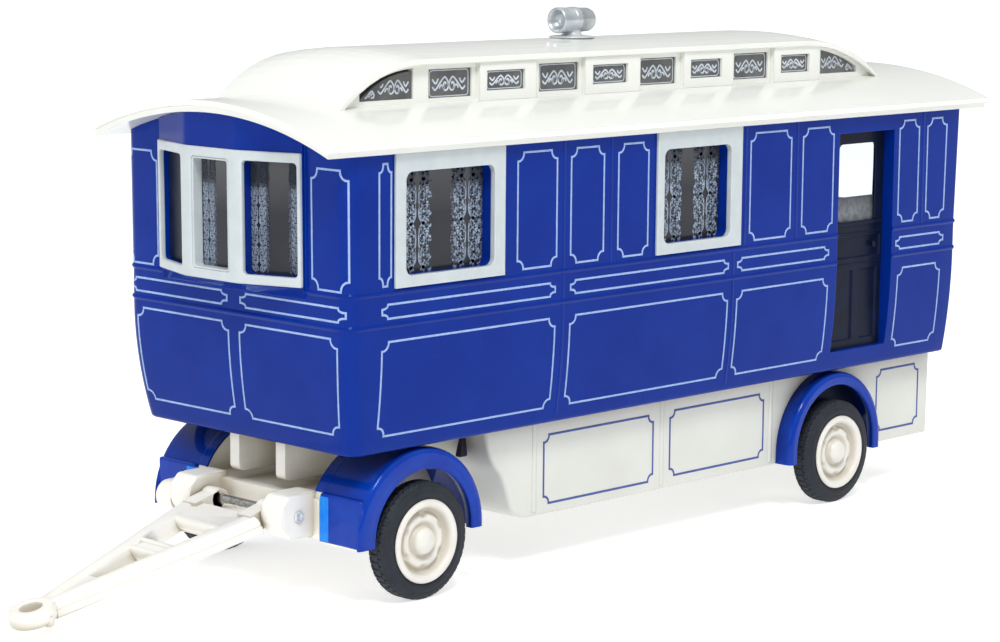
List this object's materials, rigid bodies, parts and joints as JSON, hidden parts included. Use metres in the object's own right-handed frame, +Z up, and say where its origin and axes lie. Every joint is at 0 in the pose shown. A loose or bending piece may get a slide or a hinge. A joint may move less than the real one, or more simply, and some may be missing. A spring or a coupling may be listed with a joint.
{
  "type": "showman's living wagon, collector's model",
  "caption": "Small model of a showman's living wagon with clerestory roof, bay front, skirted underframe, steering bogie, drawbar and turning wheels.",
  "frame": {"origin": "on the ground, at the middle of the overall box from the rear of the roof to the tip of the drawbar", "axes": "+X forward to the drawbar, +Y to the left side, +Z up"},
  "size_m": [0.1858, 0.051, 0.0818],
  "materials": {
    "body_blue": "gloss",
    "roof_cream": "satin",
    "ivory": "satin",
    "frame_white": "satin",
    "door_navy": "satin",
    "smoked_glazing": "gloss",
    "clear_glazing": "gloss",
    "tyre": "matt",
    "steel": "bright",
    "silver_paint": "satin silver"
  },
  "bodies": {
    "body": {"body_shell": "body_blue", "roof": "roof_cream", "chimney": "silver_paint", "front_bay_frame": "frame_white", "front_glazing": "smoked_glazing", "rear_window_frame": "frame_white", "rear_glazing": "clear_glazing", "left_window_frame_1": "frame_white", "left_window_frame_2": "frame_white", "right_window_frame_1": "frame_white", "right_window_frame_2": "frame_white", "left_glazing": "smoked_glazing", "right_glazing": "smoked_glazing", "left_door": "door_navy", "right_door": "door_navy", "left_clerestory_glazing": "smoked_glazing", "right_clerestory_glazing": "smoked_glazing", "left_skirt": "ivory", "right_skirt": "ivory", "rear_mudguard_left": "body_blue", "rear_mudguard_right": "body_blue", "chassis_plate": "ivory", "front_skirt": "ivory", "rear_skirt": "ivory", "rear_axle_carrier": "ivory", "kingpin": "steel"},
    "bogie": {"bogie_frame": "ivory", "front_mudguard_left": "body_blue", "front_mudguard_right": "body_blue", "drawbar_pin": "steel"},
    "drawbar": {"drawbar": "ivory"},
    "front_wheelset": {"front_axle": "steel", "front_hub_left": "ivory", "front_hub_right": "ivory", "front_tyre_left": "tyre", "front_tyre_right": "tyre"},
    "rear_wheelset": {"rear_axle": "steel", "rear_hub_left": "ivory", "rear_hub_right": "ivory", "rear_tyre_left": "tyre", "rear_tyre_right": "tyre"}
  },
  "joints": [
    {"name": "bogie_steer", "type": "hinge", "parent": "body", "child": "bogie", "pos_m": [0.03821, 0, 0.0148], "axis": [0, 0, 1], "range_deg": [-18, 18]},
    {"name": "drawbar_pitch", "type": "hinge", "parent": "bogie", "child": "drawbar", "pos_m": [0.05266, 0, 0.0125], "axis": [0, -1, 0], "range_deg": [0, 60]},
    {"name": "front_wheels", "type": "hinge", "parent": "bogie", "child": "front_wheelset", "pos_m": [0.03821, 0, 0.0085], "axis": [0, 1, 0], "continuous": true},
    {"name": "rear_wheels", "type": "hinge", "parent": "body", "child": "rear_wheelset", "pos_m": [-0.05679, 0, 0.0085], "axis": [0, 1, 0], "continuous": true}
  ]
}
